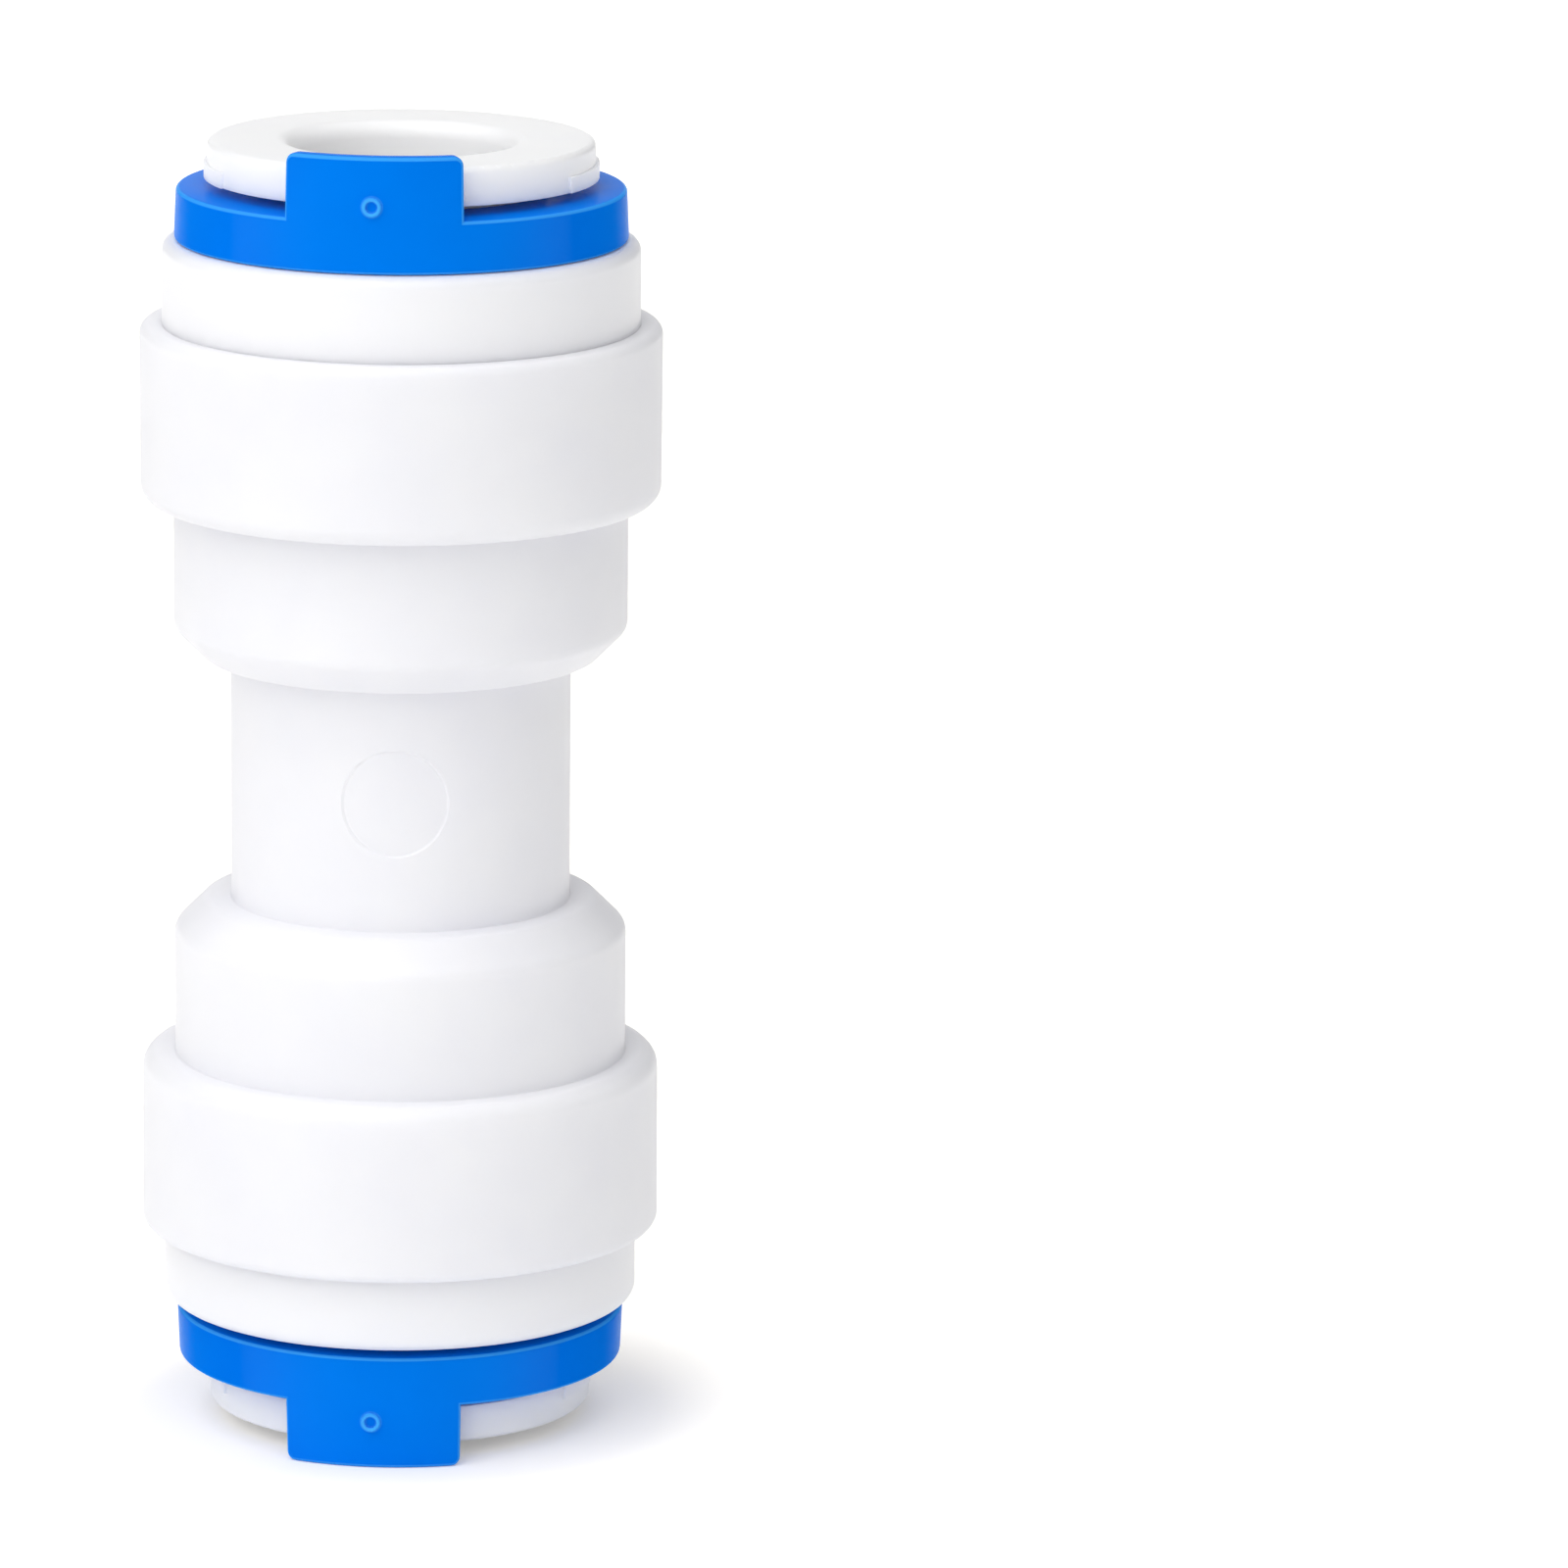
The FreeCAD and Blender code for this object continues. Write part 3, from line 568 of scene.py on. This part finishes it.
def cap_outline(neck_end):
    low = SPACER_END + 2 * SEAT_FIT
    step = COLLAR_END
    return [
        (CAVITY, low, 0),
        (SPIGOT, low, FINE_EDGE),
        (SPIGOT, step, 0),
        (NECK, step, 0),
        (NECK, neck_end, NECK_ROUND),
        (CAP_BORE + CAP_MOUTH_CHAMFER, neck_end, FINE_EDGE),
        (CAP_BORE, neck_end - CAP_MOUTH_CHAMFER, FINE_EDGE),
        (CAP_BORE, CONE_HIGH, FINE_EDGE),
        (CAVITY, CONE_LOW, FINE_EDGE),
    ]


def spacer_outline():
    low = GLAND_END + SEAT_FIT
    chamfered = SPACER_BORE + SPACER_CHAMFER
    return [
        (SPACER_BORE, low + SPACER_CHAMFER, 0),
        (chamfered, low, 0),
        (SPACER, low, FINE_EDGE),
        (SPACER, SPACER_END, FINE_EDGE),
        (chamfered, SPACER_END, 0),
        (SPACER_BORE, SPACER_END - SPACER_CHAMFER, 0),
    ]


def seal_outline():
    """The O-ring's round section, as a square whose corners are rounded until they almost meet."""
    half = SEAL_SECTION / 2
    middle = (GLAND_LOW + GLAND_END) / 2
    square = [(-half, -half), (half, -half), (half, half), (-half, half)]
    return [(SEAL_MIDDLE + x, middle + y, half * SEAL_ROUND) for x, y in square]


# Pieces that follow the frame's own meshes

def refined_copy(node, name, edge_round):
    """A copy of a frame's mesh with its corners joined, flat faces whole and edges finely rounded."""
    work = bmesh.new()
    work.from_mesh(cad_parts[node].data)
    bmesh.ops.remove_doubles(work, verts=work.verts, dist=JOIN_DISTANCE * MM)
    bmesh.ops.dissolve_limit(
        work, angle_limit=math.radians(FLAT_TURN), verts=work.verts, edges=work.edges,
        delimit=set(),
    )
    points = [vertex.co.copy() for vertex in work.verts]
    faces = [[vertex.index for vertex in face.verts] for face in work.faces]
    work.free()
    piece = new_object(name, new_mesh(name, points, (), faces))
    smooth_by_angle(piece.data)
    add_modifier(
        piece, "BEVEL", width=edge_round * MM, segments=EDGE_FACETS, limit_method="ANGLE",
        angle_limit=math.radians(ROUNDED_TURN), harden_normals=True, use_clamp_overlap=True,
    )
    return made_plain(piece)


# The clip

def edge_steps():
    """How far in and how far along a rounded edge is at each step, as shares of its radius."""
    turns = [math.radians(90 * step / QUARTER_STEPS) for step in range(QUARTER_STEPS + 1)]
    return [(1 - math.sin(turn), 1 - math.cos(turn)) for turn in turns]


def loft(name, rings):
    """Join rings of points into one closed skin, its two ends filled by strips across the ring.

    A ring runs along one side and back along the other, with as many points on each.
    """
    count = len(rings[0])
    points = [point * MM for ring in rings for point in ring]
    faces = []
    for start in range(0, count * (len(rings) - 1), count):
        for i in range(count):
            after = (i + 1) % count
            faces.append((start + i, start + after, start + count + after, start + count + i))
    for start in (0, count * (len(rings) - 1)):
        for i in range(count // 2 - 1):
            across = start + count - 1 - i
            faces.append((start + i, start + i + 1, across - 1, across))
    work = bmesh.new()
    work.from_mesh(new_mesh(name, points, (), faces))
    bmesh.ops.recalc_face_normals(work, faces=work.faces)
    piece = new_object(name, bpy.data.meshes.new(name))
    work.to_mesh(piece.data)
    work.free()
    smooth_by_angle(piece.data)
    return piece


def clip_side(height):
    return CLIP_SIDE - (height - CLIP_HIGH) * math.tan(math.radians(CLIP_DRAFT))


def spoke(radius, degrees):
    """A point at a radius, where 0 degrees is -Y and 90 is +X."""
    turn = math.radians(degrees)
    return Vector((radius * math.sin(turn), -radius * math.cos(turn), 0))


def mirrored(right):
    """Points from the far left to the far right, from the ones from the middle to the right."""
    return [Vector((-point.x, *point[1:])) for point in reversed(right[1:])] + right


def band_ring(height, inset):
    """The clip's plan at one height, drawn in by an inset: along the rim, back along the slot."""
    side = clip_side(height)
    centre_x = ARM_SLOT + ARM_TIP_ROUND
    centre = Vector((centre_x, math.sqrt((side - ARM_TIP_ROUND) ** 2 - centre_x ** 2), 0))
    tip = ARM_TIP_ROUND - inset
    rim_end = 90 + math.degrees(math.atan2(centre.y, centre.x))
    step = (270 - rim_end) / (2 * QUARTER_STEPS)
    shares = [i / FRONT_STEPS for i in range(FRONT_STEPS + 1)]
    rim = [spoke(side - inset, rim_end * share) for share in shares]
    rim += [centre + spoke(tip, rim_end + step * i) for i in range(1, QUARTER_STEPS + 1)]
    slot = [spoke(ARM_SLOT + inset, 90 * share) for share in shares]
    slot += [centre + spoke(tip, 270 - step * i) for i in range(QUARTER_STEPS)]
    ring = mirrored(rim) + mirrored(slot)[::-1]
    return [point + Vector((0, 0, height)) for point in ring]


def tab_ring(inset, inwards, outwards):
    """The tab's outline drawn in by an inset, on its inner face or its outer one, or between."""
    reach = math.radians(TAB_HALF) * CLIP_SIDE - TAB_CORNER
    corner = TAB_CORNER - inset
    right = [Vector((reach * i / TAB_STEPS, TAB_END - inset)) for i in range(TAB_STEPS + 1)]
    for i in range(1, QUARTER_STEPS + 1):
        turn = math.radians(90 * i / QUARTER_STEPS)
        lift = TAB_END - TAB_CORNER + corner * math.cos(turn)
        right.append(Vector((reach + corner * math.sin(turn), lift)))
    top = mirrored(right)
    foot = [Vector((point.x, CLIP_HIGH - CLIP_EDGE)) for point in reversed(top)]
    ring = []
    for along, height in top + foot:
        radius = clip_side(height) - outwards if inwards is None else TAB_INSIDE + inwards
        ring.append(spoke(radius, math.degrees(along / CLIP_SIDE)) + Vector((0, 0, height)))
    return ring


def pip_outline():
    return [
        (PIP_HOLE, -PIP_RADIUS, 0),
        (PIP_RADIUS, -PIP_RADIUS, 0),
        (PIP_RADIUS, PIP_PROUD, PIP_EDGE),
        (PIP_HOLE, PIP_PROUD, PIP_EDGE),
    ]


def build_clip(name, turned, finish):
    """The clip's three forms, each closed and set a little into the next, as one piece."""
    steps = edge_steps()
    low = [band_ring(CLIP_LOW + along * CLIP_EDGE, into * CLIP_EDGE) for into, along in steps]
    high = [band_ring(CLIP_HIGH - along * CLIP_EDGE, into * CLIP_EDGE) for into, along in steps]
    clip = loft(name, low + high[::-1])
    back = [tab_ring(into * TAB_EDGE, along * TAB_EDGE, None) for into, along in steps]
    front = [tab_ring(into * TAB_EDGE, None, along * TAB_EDGE) for into, along in steps]
    tab = loft("clip_tab", back + front[::-1])
    pip = turned_piece("clip_pip", pip_outline(), turned, finish, PIP_SEGMENTS)
    pip.data.transform(Matrix.Rotation(math.radians(90), 4, "X"))
    pip.data.transform(Matrix.Translation((0, -clip_side(PIP_HEIGHT) * MM, PIP_HEIGHT * MM)))
    work = bmesh.new()
    for part in (clip, tab, pip):
        work.from_mesh(part.data)
    work.to_mesh(clip.data)
    work.free()
    bpy.data.objects.remove(tab)
    bpy.data.objects.remove(pip)
    return clip


def exact_rim(mesh, outwards):
    """Give the clip's rim and the tab's face, which are one cone, the cone's own shading."""
    lean = math.radians(CLIP_DRAFT)
    normals = []
    for corner in mesh.loops:
        point = mesh.vertices[corner.vertex_index].co / MM
        height = (point.z - MIDDLE / MM) * outwards
        radial = Vector((point.x, point.y, 0)).normalized()
        cone = radial * math.cos(lean) + Vector((0, 0, math.sin(lean) * outwards))
        on_cone = abs(Vector((point.x, point.y)).length - clip_side(height)) < CONE_MISS
        near = cone.dot(corner.normal) > math.cos(math.radians(CONE_TURN))
        normals.append(cone if on_cone and near else corner.normal.copy())
    mesh.normals_split_custom_set(normals)


# The mould's mark

def mark_ring(radius, reach):
    """A ring round the mark's middle, on the turned surface of a radius and at a reach along it."""
    ring = []
    for i in range(MARK_SEGMENTS):
        turn = math.tau * i / MARK_SEGMENTS
        around = MARK_TURN + math.degrees(reach * math.sin(turn) / WAIST)
        ring.append(spoke(radius, around) + Vector((0, 0, MARK_HEIGHT + reach * math.cos(turn))))
    return ring


def sink_mark(body):
    """Cut the mark into the waist, with a floor that curves like the waist and a sloped wall."""
    opening = MARK_RADIUS + MARK_TOOL_PROUD
    floor = MARK_RADIUS - MARK_DEPTH
    rings = [mark_ring(WAIST + MARK_TOOL_PROUD, opening * share) for share in MARK_TOOL_RINGS]
    rings += [mark_ring(WAIST - MARK_DEPTH, floor * share) for share in reversed(MARK_TOOL_RINGS)]
    tool = set_in_place(loft("mark_tool", rings))
    add_modifier(body, "BOOLEAN", operation="DIFFERENCE", object=tool, solver="EXACT")
    made_plain(body)
    bpy.data.objects.remove(tool)
    smooth_by_angle(body.data)


# The whole fitting

def dress(piece, body, nodes, finish):
    """Finish a piece, tie it to its body and hide the nodes that it stands for."""
    add_modifier(piece, "WEIGHTED_NORMAL", keep_sharp=True)
    made_plain(piece)
    piece.data.materials.clear()
    piece.data.materials.append(finish)
    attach(piece, body)
    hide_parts(*nodes)


def build_pieces():
    turned = turned_tree()
    repeated = repeated_tree()
    satin = acetal_finish("moulded_acetal_satin", "#F5F5FA", "#F2F2F8", roughness=0.42)
    # The caps and collets are the body's white acetal painted lighter, the collets the most: lit
    # copies of one material, standing in for the light they show
    bright = acetal_finish("moulded_acetal_painted_lighter", "#FBFBFF", "#F9F9FE", roughness=0.34)
    painted_whitest = acetal_finish("moulded_acetal_painted_whitest", "#FFFFFF", "#FDFDFF", roughness=0.34)
    natural = spacer_finish()
    blue = clip_finish()
    black = seal_finish()
    steel = tooth_finish()

    body = set_in_place(turned_piece("body_moulding", body_outline(), turned, satin))
    sink_mark(body)
    dress(body, "fitting", ["fitting_body"], satin)

    for mouth in MOUTHS:
        neck_end = NECK_END + (UPPER_NECK_EXTRA if mouth == "upper" else 0)
        rings = [
            ("neck_cap", cap_outline(neck_end), f"{mouth}_cap", "white_moulding", bright),
            ("seal_ring", seal_outline(), f"{mouth}_o_ring", "seal_rubber", black),
            ("backing_spacer", spacer_outline(), f"{mouth}_spacer", "spacer_plastic", natural),
        ]
        for label, outline, node, slot, finish in rings:
            ring = turned_piece(f"{mouth}_{label}", outline, turned, finish)
            dress(set_in_place(ring, mouth), "fitting", [node], finish)

        collet = refined_copy(f"{mouth}_collet", f"{mouth}_release_collet", COLLET_EDGE)
        dress(collet, f"{mouth}_collet_set", [f"{mouth}_collet"], painted_whitest)

        teeth = [f"{mouth}_grip_tooth_{i + 1}" for i in range(LEGS)]
        ring = refined_copy(teeth[0], f"{mouth}_grip_teeth", TOOTH_EDGE)
        run_tree(ring, repeated, Count=LEGS, Finish=steel)
        dress(ring, f"{mouth}_collet_set", teeth, steel)

        clip = set_in_place(build_clip(f"{mouth}_blue_clip", turned, blue), mouth)
        dress(clip, f"{mouth}_locking_clip", [f"{mouth}_clip"], blue)
        exact_rim(clip.data, 1 if mouth == "upper" else -1)


# Camera, lamps and floor

CAMERA_DISTANCE = 305.0        # millimetres from the fitting's axis
CAMERA_RISE = 12.602           # degrees above the horizon
CAMERA_TURN = 7.5              # degrees round the fitting, towards +X
AIM_HEIGHT = 0.364             # millimetres above the fitting's middle
AIM_RIGHT = 2.166              # degrees: the photograph's middle is right of the fitting
AIM_UP = 0.122
CAMERA_ROLL = -0.087
SENSOR = 36.0
LENS = 232.58
SOFTBOX_DISTANCE = 0.5         # metres
SOFTBOX_SIDE = 0.6
BACKDROP_WHITE = 12.0          # degrees from straight behind the fitting to where it starts to fade
BACKDROP_END = 24.0
FLOOR_REACH = 2.0              # metres

# Millimetres from the axis, between which what the eye sees of the floor is lifted more and more;
# the smaller lift near the fitting is a painted shadow round its foot, on top of the real one
UNDER_FITTING = 8.0
SHADOW_EDGE = 11.5
SHADOW_END = 50.0
FAR_FLOOR = 300.0


def rotation(degrees, axis):
    return Matrix.Rotation(math.radians(degrees), 4, axis)


def make_camera():
    """The photograph's camera: a long lens, slightly above, with the fitting left of its middle."""
    lens = bpy.data.cameras.new("photo_camera")
    lens.sensor_fit = "HORIZONTAL"
    lens.sensor_width = SENSOR
    lens.lens = LENS
    lens.clip_start = 0.01
    camera = new_object("photo_camera", lens)
    rise = math.radians(CAMERA_RISE)
    place = Vector((0, -math.cos(rise), math.sin(rise))) * CAMERA_DISTANCE * MM
    place.z += MIDDLE + AIM_HEIGHT * MM
    aim = rotation(-AIM_RIGHT, "Y") @ rotation(-AIM_UP, "X") @ rotation(-CAMERA_ROLL, "Z")
    level = rotation(90 - CAMERA_RISE, "X")
    camera.matrix_world = rotation(CAMERA_TURN, "Z") @ Matrix.Translation(place) @ level @ aim
    bpy.context.scene.camera = camera


def add_softbox(name, azimuth, elevation, power):
    """A soft lamp that looks at the fitting's middle; azimuth 0 is at the tabs, 90 to their right."""
    light = bpy.data.lights.new(name, "AREA")
    light.shape = "SQUARE"
    light.size = SOFTBOX_SIDE
    light.energy = power
    lamp = new_object(name, light)
    aim = Matrix.Translation((0, 0, MIDDLE)) @ rotation(azimuth, "Z") @ rotation(90 - elevation, "X")
    lamp.matrix_world = aim @ Matrix.Translation((0, 0, SOFTBOX_DISTANCE))


def seen_by(tree):
    """Whether the camera sees it, and whether a gloss or a clear material does: 1 or 0."""
    path = add_node(tree, "ShaderNodeLightPath").outputs
    in_gloss = add_node(tree, "ShaderNodeMath", {
        0: path["Is Glossy Ray"], 1: path["Is Transmission Ray"],
    }, operation="MAXIMUM").outputs["Value"]
    return path["Is Camera Ray"], in_gloss


def make_world(ambient, room):
    """White to the camera; a gloss sees a white backdrop in a dimmer room; its light is even."""
    world = bpy.data.worlds.new("white_surround")
    world.use_nodes = True
    tree = world.node_tree
    to_camera, to_gloss = seen_by(tree)
    place = add_node(tree, "ShaderNodeTexCoord").outputs["Generated"]
    behind = add_node(tree, "ShaderNodeVectorMath", {
        0: place, 1: spoke(-1.0, CAMERA_TURN),
    }, operation="DOT_PRODUCT")
    backdrop = add_node(tree, "ShaderNodeMapRange", {
        "Value": behind.outputs["Value"], "From Min": math.cos(math.radians(BACKDROP_END)),
        "From Max": math.cos(math.radians(BACKDROP_WHITE)), "To Min": room, "To Max": 1.0,
    })
    light = add_node(tree, "ShaderNodeMapRange", {
        "Value": to_gloss, "To Min": ambient, "To Max": backdrop.outputs["Result"],
    })
    strength = add_node(tree, "ShaderNodeMath", {
        0: light.outputs["Result"], 1: to_camera,
    }, operation="MAXIMUM")
    background = tree.nodes["Background"]
    background.inputs["Color"].default_value = linear("#FFFFFF")
    tree.links.new(strength.outputs["Value"], background.inputs["Strength"])
    bpy.context.scene.world = world


def make_floor(shade, near_lift, edge_lift, far_lift):
    """A wide white table that lights the fitting from below, and shows the camera a soft shadow.

    What the eye sees of it is lifted towards white, the least under the fitting, which paints a
    darker shadow round its foot on top of the real one.
    """
    signs = [(-1, -1), (1, -1), (1, 1), (-1, 1)]
    corners = [(x * FLOOR_REACH, y * FLOOR_REACH, 0) for x, y in signs]
    floor = new_object("white_table", new_mesh("white_table", corners, (), [(0, 1, 2, 3)]))
    material, tree, shader = new_finish("white_laminate", Roughness=0.9, IOR=1.3)
    to_camera, to_gloss = seen_by(tree)
    seen = add_node(tree, "ShaderNodeMath", {
        0: to_camera, 1: to_gloss,
    }, operation="MAXIMUM").outputs["Value"]
    tone = add_node(tree, "ShaderNodeMix", {
        "Factor": seen, "A": linear("#FFFFFF"), "B": linear(shade),
    }, data_type="RGBA")
    tree.links.new(tone.outputs["Result"], shader.inputs["Base Color"])
    place = add_node(tree, "ShaderNodeTexCoord").outputs["Object"]
    apart = add_node(tree, "ShaderNodeVectorMath", {0: place}, operation="LENGTH").outputs["Value"]
    # Less lift close to the fitting: a painted shadow round its foot
    near = add_node(tree, "ShaderNodeMapRange", {
        "Value": apart, "From Min": UNDER_FITTING * MM, "From Max": SHADOW_EDGE * MM,
        "To Min": near_lift, "To Max": edge_lift,
    })
    far = add_node(tree, "ShaderNodeMapRange", {
        "Value": apart, "From Min": SHADOW_END * MM, "From Max": FAR_FLOOR * MM, "To Max": far_lift,
    })
    lift = add_node(tree, "ShaderNodeMath", {
        0: near.outputs["Result"], 1: far.outputs["Result"],
    }, operation="MAXIMUM")
    glow = add_node(tree, "ShaderNodeMath", {
        0: seen, 1: lift.outputs["Value"],
    }, operation="MULTIPLY")
    tree.links.new(glow.outputs["Value"], shader.inputs["Emission Strength"])
    shader.inputs["Emission Color"].default_value = linear("#FFFFFF")
    floor.data.materials.append(material)


def make_studio():
    make_camera()
    make_world(ambient=0.465, room=0.1)
    make_floor(shade="#F7F4EF", near_lift=0.22, edge_lift=0.44, far_lift=0.8)
    add_softbox("key_left", azimuth=-40, elevation=52, power=1.06)
    add_softbox("front_left", azimuth=-15, elevation=40, power=0.74)
    add_softbox("overhead", azimuth=0, elevation=88, power=0.62)
    bpy.context.scene.view_settings.view_transform = "Standard"


build_pieces()
make_studio()
